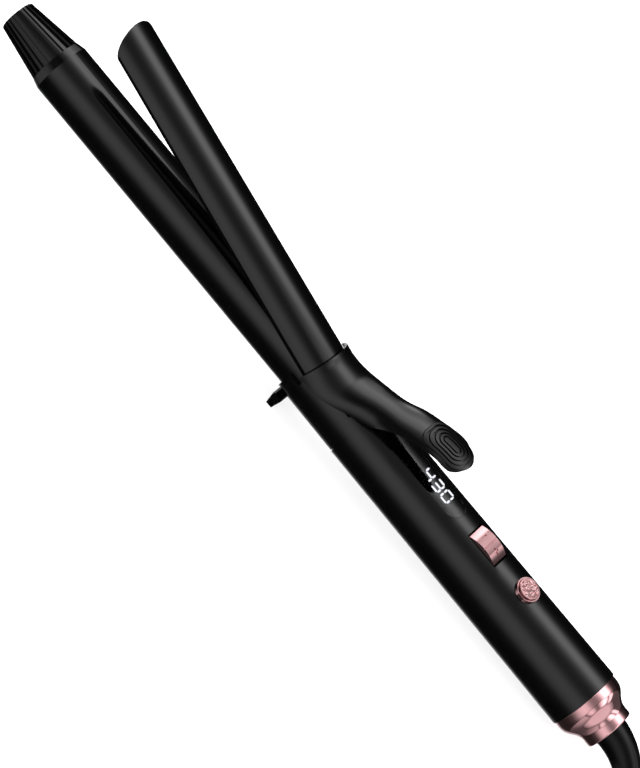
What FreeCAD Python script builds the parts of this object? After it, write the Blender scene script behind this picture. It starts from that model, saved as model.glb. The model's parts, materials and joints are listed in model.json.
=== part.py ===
import FreeCAD, Part
import Sketcher
import math
import os
import re

# A clamp curling iron, resting on its stand foot and the rear of its grip.
#
# Everything but the mains lead is modelled in the iron's own frame: X runs along the barrel from the
# cool tip (-X) to the lead (+X), Z points up through the clamp lever, and the barrel's axis is the X
# axis. TABLE_POSE then lays the iron on the table (z = 0) with the foot's centre at the origin.

Vector = FreeCAD.Vector
ACROSS = Vector(0, 1, 0)
UP = Vector(0, 0, 1)
ALONG = Vector(1, 0, 0)

SIZES = {
    # barrel and cool tip
    "barrel_radius": 12.7,
    "barrel_wall": 1.0,
    "barrel_front": -160.2,
    "barrel_nose": -163.9,
    "nose_radius": 11.75,
    "barrel_rear": 10.0,
    "tip_front": -188.9,
    "tip_front_radius": 7.7,
    "tip_rear_radius": 11.6,
    "spigot_radius": 10.5,
    "spigot_length": 12.0,
    "rib_count": 22,
    "groove_width": 1.75,
    "groove_depth": 0.95,
    # heater
    "heater_front": -138.0,
    "heater_rear": -20.0,
    "heater_thickness": 1.5,
    "spreader_radius": 11.6,
    # front housing and hinge
    "housing_front": 2.0,
    "housing_rear": 30.5,
    "housing_radius": 14.5,
    "housing_rear_radius": 14.8,
    "joint_radius": 12.5,
    "joint_length": 8.0,
    "channel_radius": 4.5,
    "channel_drop": 3.0,
    "well_rear": 25.0,
    "well_half": 10.2,
    "well_floor": 6.5,
    "ear_inner": 4.2,
    "ear_outer": 6.4,
    "ear_half": 3.2,
    "pivot_along": 16.0,
    "pivot_up": 11.0,
    "pin_radius": 1.5,
    "pin_half": 9.3,
    "pin_play": 0.04,
    "open_angle": 13.3,
    # clamp
    "blade_inner": 13.0,
    "blade_outer": 13.8,
    "blade_tip": -155.0,
    "blade_tail": 1.6,
    "blade_base_half": 12.3,
    "blade_tip_half": 11.7,
    "blade_round": 9.0,
    "tongue_rear": 11.5,
    "tongue_half": 5.5,
    "rivet_radius": 1.2,
    "pad_centre": 52.4,
    "pad_length": 20.6,
    "pad_width": 15.4,
    "pad_corner": 5.6,
    "pad_step": 1.62,
    "pad_groove": 1.7,
    "pad_rings": 5,
    # stand
    "ring_front": -3.7,
    "ring_rear": 2.0,
    "ring_radius": 14.2,
    "ring_opening": 150.0,
    "leg_hinge_drop": 16.9,
    "leg_pin_radius": 1.0,
    "leg_half": 10.0,
    "lug_half": 4.0,
    "foot_drop": 23.2,
    # grip
    "grip_front": 30.5,
    "grip_rear": 175.0,
    "grip_front_radius": 15.0,
    "grip_rear_radius": 15.9,
    "grip_wall": 2.2,
    "cover_front": 54.0,
    "cover_level": -1.9,
    "seam": 0.12,
    # controls
    "window_front": 47.0,
    "window_rear": 85.2,
    "window_half": 5.8,
    "window_thickness": 0.8,
    "display_level": 13.8,
    "digit_half": 1.95,
    "digit_tall": 2.6,
    "digit_side": 0.5,
    "digit_pitch": 5.75,
    "digit_first": 63.6,
    "bar_half": 0.42,
    "bar_gap": 0.2,
    "bar_thickness": 0.12,
    "rocker_centre": 101.0,
    "rocker_half": 7.6,
    "rocker_width": 9.0,
    "rocker_slot_half": 8.5,
    "rocker_slot_width": 9.6,
    "rocker_crown": 14.2,
    "rocker_top": 17.0,
    "rocker_pivot": 9.6,
    "mark_reach": 3.8,
    "mark_half": 1.5,
    "mark_line": 0.32,
    "mark_depth": 0.4,
    "button_centre": 125.2,
    "button_radius": 4.7,
    "button_top": 17.9,
    "bezel_radius": 5.9,
    "bezel_top": 16.9,
    # end cap and swivel
    "cap_rear": 191.8,
    "cap_radius": 15.3,
    "cap_neck_radius": 10.85,
    "mouth_radius": 8.0,
    "rotor_radius": 7.9,
    "relief_radius": 7.5,
    "relief_end_radius": 4.2,
    "relief_bend": 30.0,
    "relief_turn": 46.0,
    "relief_tail": 10.0,
    # mains lead and plug
    "cord_radius": 3.0,
    "hank_fold": 24.0,
    "waist_half": 19.2,
    "waist_run": 44.0,
    "tie_width": 12.0,
    "plug_length": 24.0,
    "plug_width": 21.0,
    "plug_height": 14.9,
    "plug_relief": 20.0,
    "blade_pitch": 12.7,
}

os.makedirs("parts", exist_ok=True)
doc = FreeCAD.newDocument("curling_iron")
sheet = doc.addObject("Spreadsheet::Sheet", "sizes")
for row, (alias, number) in enumerate(SIZES.items(), start=1):
    sheet.set(f"A{row}", alias)
    sheet.set(f"B{row}", str(number))
    sheet.setAlias(f"B{row}", alias)
doc.recompute()

NODES = {}


# ---------------------------------------------------------------- helpers: sizes and placements


def bound(text):
    """An expression with each plain word made a cell of the sheet."""
    return re.sub(r"\b[a-z]\w*", r"sizes.\g<0>", text)


def value(text):
    """The number that an expression in the sheet's aliases stands for."""
    return float(sheet.evalExpression(bound(text)))


def bind(item, **properties):
    """Tie an object's properties to expressions in the sheet's aliases."""
    for name, text in properties.items():
        item.setExpression(name, bound(text))


def bind_place(item, x="0", y="0", z="0"):
    """Tie where an object stands to the sheet, keeping the way it is turned."""
    for letter, text in zip("xyz", (x, y, z)):
        item.setExpression(f"Placement.Base.{letter}", bound(text))


TILT = math.degrees(math.atan2(value("foot_drop - grip_rear_radius"), value("grip_rear")))
TABLE_TURN = FreeCAD.Rotation(ACROSS, TILT)
TABLE_POSE = FreeCAD.Placement(TABLE_TURN.multVec(Vector(0, 0, value("foot_drop"))), TABLE_TURN)
PIVOT = Vector(value("pivot_along"), 0, value("pivot_up"))
OPEN_TURN = FreeCAD.Rotation(ACROSS, value("open_angle"))
# The clamp is modelled closed on the barrel, then swung open about its pin.
CLAMP_POSE = TABLE_POSE.multiply(FreeCAD.Placement(Vector(), OPEN_TURN, PIVOT))
FREE_POSE = FreeCAD.Placement()


def group(*items):
    """Separate solids as one object."""
    compound = doc.addObject("Part::Compound", "group")
    compound.Links = list(items)
    return compound


def keep(item, label, pose=TABLE_POSE):
    """Name a finished sub-part and lay it in its place; a bare primitive is wrapped first."""
    if item.TypeId in ("Part::Box", "Part::Cylinder", "Part::Cone"):
        item = group(item)
    item.Label = label
    item.Placement = pose
    NODES[label] = item
    return item


# ---------------------------------------------------------------- helpers: primitives and booleans


def rod(radius, start, end, axis="x", y="0", z="0", x="0"):
    """A round rod along one axis, from start to end on that axis."""
    item = doc.addObject("Part::Cylinder", "rod")
    bind(item, Radius=radius, Height=f"({end}) - ({start})")
    turns = {"x": FreeCAD.Rotation(ACROSS, 90), "y": FreeCAD.Rotation(ALONG, -90), "z": FreeCAD.Rotation()}
    item.Placement = FreeCAD.Placement(Vector(), turns[axis])
    place = {"x": x, "y": y, "z": z}
    place[axis] = start
    bind_place(item, **place)
    return item


def cone(radius_start, radius_end, start, end):
    """A cone about the X axis."""
    item = doc.addObject("Part::Cone", "cone")
    bind(item, Radius1=radius_start, Radius2=radius_end, Height=f"({end}) - ({start})")
    item.Placement = FreeCAD.Placement(Vector(), FreeCAD.Rotation(ACROSS, 90))
    bind_place(item, x=start)
    return item


def block(x, y, z):
    """A box between pairs of expressions on each axis."""
    item = doc.addObject("Part::Box", "block")
    low, high = zip(x, y, z)
    bind(item, Length=f"({high[0]}) - ({low[0]})", Width=f"({high[1]}) - ({low[1]})")
    bind(item, Height=f"({high[2]}) - ({low[2]})")
    bind_place(item, *low)
    return item


def joined(*items):
    """Several objects as one."""
    if len(items) == 1:
        return items[0]
    item = doc.addObject("Part::MultiFuse", "joined")
    item.Shapes = list(items)
    return item


def cut(base, *tools):
    """The base with the tools taken away."""
    item = doc.addObject("Part::Cut", "cut")
    item.Base = base
    item.Tool = joined(*tools)
    return item


def shared(first, second):
    """What two objects have in common."""
    item = doc.addObject("Part::Common", "shared")
    item.Base = first
    item.Tool = second
    return item


def shaped(shape):
    """A free shape as an object of the document."""
    item = doc.addObject("Part::Feature", "shaped")
    item.Shape = shape
    return item


# ---------------------------------------------------------------- helpers: sketches and features


def outline(sketch, corners, first_edge=0):
    """Straight edges through corners, each a pair of expressions from the sketch's origin."""
    places = [Vector(value(x), value(y), 0) for x, y in corners]
    count = len(places)
    for index, start in enumerate(places):
        sketch.addGeometry(Part.LineSegment(start, places[(index + 1) % count]))
    for index, corner in enumerate(corners):
        edge = first_edge + index
        following = first_edge + (index + 1) % count
        sketch.addConstraint(Sketcher.Constraint("Coincident", edge, 2, following, 1))
        for kind, text in zip(("DistanceX", "DistanceY"), corner):
            rule = Sketcher.Constraint(kind, -1, 1, edge, 1, value(text))
            number = sketch.addConstraint(rule)
            sketch.setExpression(f"Constraints[{number}]", bound(text))
    return first_edge + count


def ring_line(sketch, x, y, radius, edge=0):
    """A circle with its centre and radius tied to the sheet."""
    centre = Vector(value(x), value(y), 0)
    sketch.addGeometry(Part.Circle(centre, Vector(0, 0, 1), value(radius)))
    for kind, text in zip(("DistanceX", "DistanceY"), (x, y)):
        number = sketch.addConstraint(Sketcher.Constraint(kind, -1, 1, edge, 3, value(text)))
        sketch.setExpression(f"Constraints[{number}]", bound(text))
    number = sketch.addConstraint(Sketcher.Constraint("Radius", edge, value(radius)))
    sketch.setExpression(f"Constraints[{number}]", bound(radius))


def sketch_on(body, role, height="0"):
    """A sketch on one of the body's own origin planes, or at a height above it."""
    sketch = body.newObject("Sketcher::SketchObject", "sketch")
    plane = next(item for item in body.Origin.OriginFeatures if item.Role == role)
    sketch.AttachmentSupport = (plane, [""])
    sketch.MapMode = "FlatFace"
    sketch.AttachmentOffset = FreeCAD.Placement(Vector(0, 0, value(height)), FreeCAD.Rotation())
    sketch.setExpression("AttachmentOffset.Base.z", bound(height))
    return sketch


def turned(corners):
    """A body turned about the X axis from an outline of (along, radius) corners."""
    body = doc.addObject("PartDesign::Body", "turned")
    sketch = sketch_on(body, "XZ_Plane")
    outline(sketch, corners)
    feature = body.newObject("PartDesign::Revolution", "revolution")
    feature.Profile = sketch
    feature.ReferenceAxis = (sketch, ["H_Axis"])
    feature.Angle = 360
    doc.recompute()
    return body


def pocket(body, sketch, length=None, both_ways=False, backwards=False):
    """Cut a sketch into the body, through it or to a length, and check that it cut something."""
    before = body.Shape.Volume
    feature = body.newObject("PartDesign::Pocket", "pocket")
    feature.Profile = sketch
    if length is None:
        feature.Type = "ThroughAll"
    else:
        bind(feature, Length=length)
    feature.Midplane = both_ways
    feature.Reversed = backwards
    doc.recompute()
    if not body.Shape.Volume < before - 1e-3:
        raise SystemExit(f"the pocket on {sketch.Name} cuts nothing")
    return feature


def round_edges(body, radius, wanted):
    """Round the edges of the body's last feature that a test picks."""
    base = body.Tip
    names = [f"Edge{n}" for n, edge in enumerate(base.Shape.Edges, start=1) if wanted(edge)]
    feature = body.newObject("PartDesign::Fillet", "fillet")
    feature.Base = (base, names)
    feature.Radius = radius
    doc.recompute()
    return feature


# ---------------------------------------------------------------- barrel, cool tip and heater


def make_barrel():
    """The heated tube; its front end carries on the cool tip's cone for a few millimetres."""
    body = turned(
        [
            ("barrel_nose", "nose_radius"),
            ("barrel_front", "barrel_radius"),
            ("barrel_rear", "barrel_radius"),
            ("barrel_rear", "barrel_radius - barrel_wall"),
            ("barrel_front", "barrel_radius - barrel_wall"),
            ("barrel_nose", "nose_radius - barrel_wall"),
        ]
    )
    keep(body, "barrel_tube")


def make_cool_tip():
    """The moulded tip: a cone with lengthwise grooves all round, and a spigot inside the tube."""
    rear = "barrel_nose - 0.1"
    inner_end = f"{rear} + spigot_length"
    body = turned(
        [
            ("tip_front", "0"),
            ("tip_front", "tip_front_radius"),
            (rear, "tip_rear_radius"),
            (rear, "spigot_radius"),
            (inner_end, "spigot_radius"),
            (inner_end, "0"),
        ]
    )
    front = value("tip_front")
    round_edges(body, 1.3, lambda edge: abs(edge.BoundBox.XMax - front) < 1e-3 and edge.BoundBox.YLength > 1)
    sketch = sketch_on(body, "XZ_Plane")
    slope = "(tip_rear_radius - tip_front_radius) / (barrel_nose - tip_front)"
    outline(
        sketch,
        [
            ("tip_front - 1", f"tip_front_radius - groove_depth - {slope}"),
            ("barrel_nose + 1", f"tip_rear_radius - groove_depth + {slope}"),
            ("barrel_nose + 1", "tip_rear_radius + 2"),
            ("tip_front - 1", "tip_front_radius + 2"),
        ],
    )
    groove = pocket(body, sketch, length="groove_width", both_ways=True)
    pattern = body.newObject("PartDesign::PolarPattern", "grooves")
    pattern.Originals = [groove]
    axis = next(item for item in body.Origin.OriginFeatures if item.Role == "X_Axis")
    pattern.Axis = (axis, [""])
    pattern.Angle = 360
    bind(pattern, Occurrences="rib_count")
    body.Tip = pattern
    keep(body, "cool_tip")
    washer_front = f"{inner_end} + 0.3"
    washer_rear = f"{washer_front} + 2"
    washer = cut(rod("spigot_radius + 0.9", washer_front, washer_rear), rod("2", washer_front, washer_rear))
    keep(washer, "tip_insulator")


def make_heater():
    """A flat ceramic heater between two half-round aluminium spreaders, with its sensors and leads."""
    half = "heater_thickness / 2"
    plate = block(("heater_front", "heater_rear"), ("-8", "8"), (f"-{half}", half))
    keep(plate, "heater_plate")
    for label, side in (("heat_spreader_upper", 1), ("heat_spreader_lower", -1)):
        bar = rod("spreader_radius", "heater_front", "heater_rear")
        levels = ("-20", half) if side > 0 else (f"-{half}", "20")
        other = block(("heater_front - 1", "heater_rear + 1"), ("-20", "20"), levels)
        keep(cut(bar, other), label)
    probe = rod("1.2", "heater_rear + 0.2", "heater_rear + 14", y="-5", z="-4")
    keep(probe, "temperature_probe")
    fuse = rod("1.75", "heater_rear + 1", "heater_rear + 12", y="5", z="-4.5")
    keep(fuse, "thermal_fuse")
    wires = [rod("0.75", "heater_rear", "62", y=side, z="-0.3") for side in ("-2.6", "-0.9", "0.9", "2.6")]
    keep(group(*wires), "heater_leads")


# ---------------------------------------------------------------- front housing and hinge


def make_housing():
    """The collar between barrel and grip: a seat for the tube, a well for the clamp's hinge with two
    ears standing in it, a channel for the wires, and a spigot that the grip slides over."""
    seat = "barrel_radius + 0.05"
    seat_end = "barrel_rear + 0.3"
    joint_end = "housing_rear + joint_length"
    body = turned(
        [
            ("housing_front", seat),
            ("housing_front", "housing_radius"),
            ("housing_rear", "housing_rear_radius"),
            ("housing_rear", "joint_radius"),
            (joint_end, "joint_radius"),
            (joint_end, "0"),
            (seat_end, "0"),
            (seat_end, seat),
        ]
    )
    channel = sketch_on(body, "YZ_Plane")
    ring_line(channel, "0", "-channel_drop", "channel_radius")
    pocket(body, channel, both_ways=True)
    well = sketch_on(body, "XY_Plane", "well_floor")
    edge = outline(
        well,
        [
            ("housing_front - 1", "-well_half"),
            ("well_rear", "-well_half"),
            ("well_rear", "well_half"),
            ("housing_front - 1", "well_half"),
        ],
    )
    for side in ("", "-"):
        edge = outline(
            well,
            [
                ("pivot_along - ear_half", f"{side}ear_inner"),
                ("pivot_along + ear_half", f"{side}ear_inner"),
                ("pivot_along + ear_half", f"{side}ear_outer"),
                ("pivot_along - ear_half", f"{side}ear_outer"),
            ],
            edge,
        )
    pocket(body, well, backwards=True)
    hole = sketch_on(body, "XZ_Plane")
    ring_line(hole, "pivot_along", "pivot_up", "pin_radius + 0.01")
    pocket(body, hole, length="2 * ear_outer + 1", both_ways=True)
    screw_hole = sketch_on(body, "XY_Plane")
    ring_line(screw_hole, "6", "0", "1.6")
    pocket(body, screw_hole)
    keep(body, "front_housing")
    pin = rod("pin_radius", "-pin_half", "pin_half", axis="y", x="pivot_along", z="pivot_up")
    keep(pin, "hinge_pin")
    grub = rod("1.55", "-housing_radius + 0.4", "-barrel_radius - 0.05", axis="z", x="6")
    keep(grub, "barrel_screw")


def make_clamp_spring():
    """A torsion spring round the hinge pin, between the housing's ears."""
    mean = 2.3
    wire = 0.35
    pitch = 1.0
    length = 6.0
    helix = Part.makeHelix(pitch, length, mean)
    start = Part.Wire([Part.Circle(Vector(mean, 0, 0), ACROSS, wire).toShape()])
    coil = Part.Wire(helix).makePipeShell([start], True, True)
    legs = []
    for height, reach in ((0, 5.5), (length, -5.5)):
        way = ACROSS * math.copysign(1, reach)
        legs.append(Part.makeCylinder(wire, abs(reach), Vector(mean, 0, height), way))
    spring = coil.fuse(legs)
    spring.rotate(Vector(), ALONG, 90)
    spring.translate(PIVOT + Vector(0, length / 2, 0))
    keep(shaped(Part.Compound([spring])), "clamp_spring")


# ---------------------------------------------------------------- clamp: blade, lever and thumb pad


RIVETS = ("5", "9.3")


def make_blade():
    """The springy curved blade, round-ended like a tongue, with a tail that goes under the lever."""
    outside = rod("blade_outer", "blade_tip", "tongue_rear")
    tube = cut(outside, rod("blade_inner", "blade_tip - 1", "tongue_rear + 1"))
    plan = doc.addObject("Sketcher::SketchObject", "blade_plan")
    corners = [
        ("blade_tip + blade_round", "-blade_tip_half"),
        ("blade_tail - 14", "-blade_base_half"),
        ("blade_tail", "-blade_base_half"),
        ("blade_tail", "-tongue_half"),
        ("tongue_rear", "-tongue_half"),
        ("tongue_rear", "tongue_half"),
        ("blade_tail", "tongue_half"),
        ("blade_tail", "blade_base_half"),
        ("blade_tail - 14", "blade_base_half"),
        ("blade_tip + blade_round", "blade_tip_half"),
    ]
    outline(plan, corners)
    end = doc.addObject("Part::Ellipse", "blade_end")
    bind(end, MajorRadius="blade_tip_half", MinorRadius="blade_round")
    end.Placement = FreeCAD.Placement(Vector(), FreeCAD.Rotation(UP, 90))
    bind_place(end, x="blade_tip + blade_round")
    prisms = []
    for base in (plan, end):
        prism = doc.addObject("Part::Extrusion", "blade_prism")
        prism.Base = base
        prism.Dir = UP
        prism.LengthFwd = 20
        prism.Solid = True
        prisms.append(prism)
    holes = [rod("rivet_radius + 0.05", "10", "16", axis="z", x=place) for place in RIVETS]
    keep(cut(shared(tube, joined(*prisms)), *holes), "clamp_blade", CLAMP_POSE)


# Stations along the closed lever: distance along, crest height, edge's half-width, edge's height and
# the wall's upright thickness. It hugs the housing at its front and rises to a thumb pad at its rear.
LEVER = [
    (0.8, 16.0, 14.95, 5.4, 1.0),
    (3.4, 16.0, 14.95, 5.4, 1.0),
    (6.0, 16.1, 14.9, 5.7, 1.0),
    (9.0, 16.6, 14.8, 6.5, 1.15),
    (13.0, 18.1, 14.3, 8.5, 1.6),
    (17.0, 20.7, 13.5, 11.1, 2.1),
    (23.0, 25.2, 12.2, 15.4, 2.7),
    (29.5, 29.9, 11.3, 20.2, 2.9),
    (36.0, 35.6, 10.4, 30.0, 2.9),
    (43.0, 41.0, 9.8, 37.0, 2.8),
    (50.0, 45.2, 9.6, 42.2, 2.5),
    (57.0, 47.7, 9.6, 44.9, 2.4),
    (64.5, 49.2, 9.6, 46.4, 2.4),
]
# Its outline from above: distance along and half-width; the widest part is clear of the walls.
LEVER_PLAN = [(0.8, 17.0), (14.0, 17.0), (30.0, 12.6), (44.0, 9.6), (56.0, 9.5)]
LEVER_END = 63.8


def lever_section(along, crest, half, edge, wall):
    """The lever's U-shaped section at one station."""
    outer = [Vector(along, -half, edge), Vector(along, 0, crest), Vector(along, half, edge)]
    side = min(wall, 2.2)
    inner = [
        Vector(along, half - side, edge),
        Vector(along, 0, crest - wall),
        Vector(along, side - half, edge),
    ]
    return Part.Wire(
        [
            Part.Arc(*outer).toShape(),
            Part.LineSegment(outer[2], inner[0]).toShape(),
            Part.Arc(*inner).toShape(),
            Part.LineSegment(inner[2], outer[0]).toShape(),
        ]
    )


def filled_section(along, crest, half, edge, lift, depth=8):
    """The area under the lever's outer arc, raised by lift, used to part its top surface."""
    level = edge + lift
    arc = [Vector(along, -half, level), Vector(along, 0, crest + lift), Vector(along, half, level)]
    floor = [Vector(along, half, level - depth), Vector(along, -half, level - depth)]
    return Part.Wire(
        [
            Part.Arc(*arc).toShape(),
            Part.LineSegment(arc[2], floor[0]).toShape(),
            Part.LineSegment(floor[0], floor[1]).toShape(),
            Part.LineSegment(floor[1], arc[0]).toShape(),
        ]
    )


def under_crest(lift):
    """All that lies under the lever's top surface over the pad, raised by lift."""
    wires = [filled_section(*station[:4], lift) for station in LEVER if station[0] > 35]
    return Part.makeLoft(wires, True, False)


def lever_prism():
    """The lever's outline from above, with its rounded rear end, as a tall prism."""
    near = [Vector(x, -half, 0) for x, half in LEVER_PLAN]
    far = [Vector(x, half, 0) for x, half in reversed(LEVER_PLAN)]
    tip = Vector(LEVER_END, 0, 0)
    edges = [Part.LineSegment(a, b).toShape() for a, b in zip(near, near[1:])]
    edges.append(Part.Arc(near[-1], tip, far[0]).toShape())
    edges += [Part.LineSegment(a, b).toShape() for a, b in zip(far, far[1:])]
    edges.append(Part.LineSegment(far[-1], near[0]).toShape())
    return Part.Face(Part.Wire(edges)).extrude(Vector(0, 0, 70))


def rounded_prism(length, width, corner):
    """An upright prism over a rounded rectangle centred on the thumb pad."""
    corner = min(corner, width / 2 - 0.05)
    x = value("pad_centre") - length / 2
    y = -width / 2
    solid = Part.makeBox(length, width, 60, Vector(x, y, 20))
    upright = [edge for edge in solid.Edges if edge.BoundBox.ZLength > 50]
    return solid.makeFillet(corner, upright)


def make_lever():
    """The thumb lever: one moulded shell with two ears for the pin, and an inlaid ridged pad."""
    shell = Part.makeLoft([lever_section(*station) for station in LEVER], True, False)
    shell = shell.common(lever_prism())
    pin = value("pin_radius")
    ears = []
    for side in (-1, 1):
        y = side * 7.9
        low = Vector(PIVOT.x, y - 1.1, PIVOT.z)
        ear = Part.makeCylinder(3.0, 2.2, low, ACROSS)
        ear = ear.fuse(Part.makeBox(6.0, 2.2, 5.6, Vector(PIVOT.x - 3.0, y - 1.1, PIVOT.z)))
        ears.append(ear)
    hole = Part.makeCylinder(pin + value("pin_play"), 24, PIVOT - Vector(0, 12, 0), ACROSS)
    over = Part.makeLoft([filled_section(*station[:4], -0.6, 14) for station in LEVER], True, False)
    lever = shell.fuse([ear.common(over) for ear in ears]).cut(hole)
    rivet = value("rivet_radius") + 0.05
    for place in RIVETS:
        lever = lever.cut(Part.makeCylinder(rivet, 5.3, Vector(float(place), 0, 10), UP))
    length, width, corner = value("pad_length"), value("pad_width"), value("pad_corner")
    recess = rounded_prism(length, width, corner)
    lever = lever.cut(recess.cut(under_crest(-0.9)))
    keep(shaped(lever.removeSplitter()), "lever_shell", CLAMP_POSE)

    inlay = rounded_prism(length - 0.1, width - 0.1, corner - 0.05)
    pad = inlay.common(under_crest(-0.33)).cut(under_crest(-0.88))
    low = under_crest(-0.35)
    high = under_crest(0.5)
    groove = value("pad_groove")
    ridges = []
    for ring in range(int(value("pad_rings"))):
        inset = 0.2 + ring * 2 * value("pad_step")
        long, wide, round_by = length - inset, width - inset, corner - 0.1 - 0.7 * ring
        ridge = rounded_prism(long, wide, round_by)
        if wide > 2.5:
            ridge = ridge.cut(rounded_prism(long - groove, wide - groove, round_by - 0.6))
        ridges.append(ridge.common(high).cut(low))
    keep(shaped(pad.fuse(ridges).removeSplitter()), "thumb_pad", CLAMP_POSE)

    rivets = [rod("rivet_radius", "blade_inner + 0.05", "15.25", axis="z", x=place) for place in RIVETS]
    keep(group(*rivets), "blade_rivets", CLAMP_POSE)


# ---------------------------------------------------------------- folding stand


def make_stand():
    """A C-shaped ring round the barrel's base with a lug below, and a folding leg pinned to it."""
    body = doc.addObject("PartDesign::Body", "ring")
    sketch = sketch_on(body, "XZ_Plane")
    outline(
        sketch,
        [
            ("ring_front", "-barrel_radius - 0.03"),
            ("ring_rear", "-barrel_radius - 0.03"),
            ("ring_rear", "-ring_radius"),
            ("ring_front", "-ring_radius"),
        ],
    )
    band = body.newObject("PartDesign::Revolution", "band")
    band.Profile = sketch
    band.ReferenceAxis = (sketch, ["H_Axis"])
    bind(band, Angle="360 - ring_opening")
    band.Midplane = True
    doc.recompute()
    lug = sketch_on(body, "XZ_Plane")
    outline(
        lug,
        [
            ("-1.9", "-13.6"),
            ("1.7", "-13.6"),
            ("1.7", "-leg_hinge_drop - 1.2"),
            ("0.9", "-leg_hinge_drop - 2"),
            ("-1.1", "-leg_hinge_drop - 2"),
            ("-1.9", "-leg_hinge_drop - 1.2"),
        ],
    )
    pad = body.newObject("PartDesign::Pad", "lug")
    pad.Profile = lug
    bind(pad, Length="2 * lug_half")
    pad.Midplane = True
    doc.recompute()
    hole = sketch_on(body, "XZ_Plane")
    ring_line(hole, "0", "-leg_hinge_drop", "leg_pin_radius + 0.01")
    pocket(body, hole, both_ways=True)
    keep(body, "stand_ring")
    pin = rod("leg_pin_radius", "0.4 - leg_half", "leg_half - 0.4", axis="y", z="-leg_hinge_drop")
    keep(pin, "stand_pin")

    leg = doc.addObject("PartDesign::Body", "leg")
    side_view = sketch_on(leg, "XZ_Plane")
    slope = math.tan(math.radians(TILT))
    tread = [f"-foot_drop + {along * slope:.4f}" for along in (-1.6, 1.4)]
    outline(
        side_view,
        [
            ("-1.9", "-leg_hinge_drop + 1.7"),
            ("1.6", "-leg_hinge_drop + 1.7"),
            ("2.3", "-leg_hinge_drop + 1"),
            ("1.4", tread[1]),
            ("-1.6", tread[0]),
            ("-2.7", "-leg_hinge_drop + 1"),
        ],
    )
    plate = leg.newObject("PartDesign::Pad", "plate")
    plate.Profile = side_view
    bind(plate, Length="2 * leg_half")
    plate.Midplane = True
    doc.recompute()
    gap = sketch_on(leg, "XY_Plane")
    outline(
        gap,
        [
            ("-5", "-lug_half - 0.3"),
            ("5", "-lug_half - 0.3"),
            ("5", "lug_half + 0.3"),
            ("-5", "lug_half + 0.3"),
        ],
    )
    pocket(leg, gap, length="leg_hinge_drop + 2.8")
    bore = sketch_on(leg, "XZ_Plane")
    ring_line(bore, "0", "-leg_hinge_drop", "leg_pin_radius + pin_play")
    pocket(leg, bore, both_ways=True)
    keep(leg, "stand_leg")


# ---------------------------------------------------------------- grip, cover and controls


def grip_radius(along):
    """The grip's outside radius at a distance along, in millimetres."""
    front, rear = value("grip_front"), value("grip_rear")
    narrow, wide = value("grip_front_radius"), value("grip_rear_radius")
    return narrow + (wide - narrow) * (along - front) / (rear - front)


def grip_cone(inset):
    """The grip's outside shape, shrunk by an inset, from end to end."""
    return cone(f"grip_front_radius - {inset}", f"grip_rear_radius - {inset}", "grip_front", "grip_rear")


def window_prism(play):
    """The display window from above: a slot whose rear end is round."""
    half = f"window_half + {play}"
    strip = block(
        (f"window_front - {play}", "window_rear - window_half"),
        (f"-({half})", half),
        ("5", "20"),
    )
    end = rod(half, "5", "20", axis="z", x="window_rear - window_half")
    return joined(strip, end)


def make_grip():
    """The handle: an upper shell with its openings and a lower cover from behind the hinge to the cap.
    Fine grooves mark the seams between them and round the shell's front edge."""
    tube = cut(grip_cone("0"), grip_cone("grip_wall"))
    slot_half = "rocker_slot_width / 2"
    openings = [
        window_prism("0.05"),
        block(
            ("rocker_centre - rocker_slot_half", "rocker_centre + rocker_slot_half"),
            (f"-{slot_half}", slot_half),
            ("5", "20"),
        ),
        rod("bezel_radius - 0.6", "5", "20", axis="z", x="button_centre"),
        block(("cover_front", "grip_rear + 1"), ("-20", "20"), ("-20", "cover_level")),
    ]
    seam_levels = ("cover_level - 0.3", "cover_level + 0.2")
    level = block(("cover_front - 0.3", "grip_rear + 1"), ("-20", "20"), seam_levels)
    groove = cut(level, grip_cone("0.4"))
    front_ring = rod("17", "grip_front - 1", "grip_front + 0.5")
    front_groove = cut(front_ring, rod("grip_front_radius - 0.6", "grip_front - 2", "grip_front + 1"))
    keep(cut(tube, *openings, groove, front_groove), "grip_shell")
    lower = cut(grip_cone("0.02"), grip_cone("grip_wall"))
    part = block(("cover_front + seam", "grip_rear"), ("-20", "20"), ("-20", "cover_level - seam"))
    cover = shared(lower, part)
    sinks = [rod("2.6", "-20", "-14.2", axis="z", x=place) for place in COVER_SCREWS]
    holes = [rod("1.3", "-16", "-10", axis="z", x=place) for place in COVER_SCREWS]
    keep(cut(cover, *sinks, *holes, groove), "grip_cover")
    screws = [
        joined(rod("2.3", "-15", "-14.2", axis="z", x=place), rod("1.2", "-14.3", "-6.5", axis="z", x=place))
        for place in COVER_SCREWS
    ]
    keep(group(*screws), "cover_screws")


COVER_SCREWS = ("70", "156")

# The number shown, and the places of the seven bars round each digit's centre: (along, across) in
# half-widths and half-heights, and whether the bar lies along or across the handle.
SHOWN = "430"
BARS = {
    "a": (0, 1, True),
    "b": (1, 0.5, False),
    "c": (1, -0.5, False),
    "d": (0, -1, True),
    "e": (-1, -0.5, False),
    "f": (-1, 0.5, False),
    "g": (0, 0, True),
}
LIT = {"4": "bcfg", "3": "abcdg", "0": "abcdef"}


def digit_bar(centre, bar):
    """One pointed bar of a digit, as a thin plate on the display module."""
    along, across, lengthwise = BARS[bar]
    half, tall, thick = value("digit_half"), value("digit_tall"), value("bar_half")
    middle = Vector(centre + along * half, across * tall + value("digit_side"), value("display_level"))
    reach = (half if lengthwise else tall / 2) - value("bar_gap")
    flat = reach - thick
    shape = [(-reach, 0), (-flat, thick), (flat, thick), (reach, 0), (flat, -thick), (-flat, -thick)]
    points = [middle + (Vector(x, y, 0) if lengthwise else Vector(y, x, 0)) for x, y in shape]
    return Part.Face(Part.makePolygon(points + points[:1])).extrude(UP * value("bar_thickness"))


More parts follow.
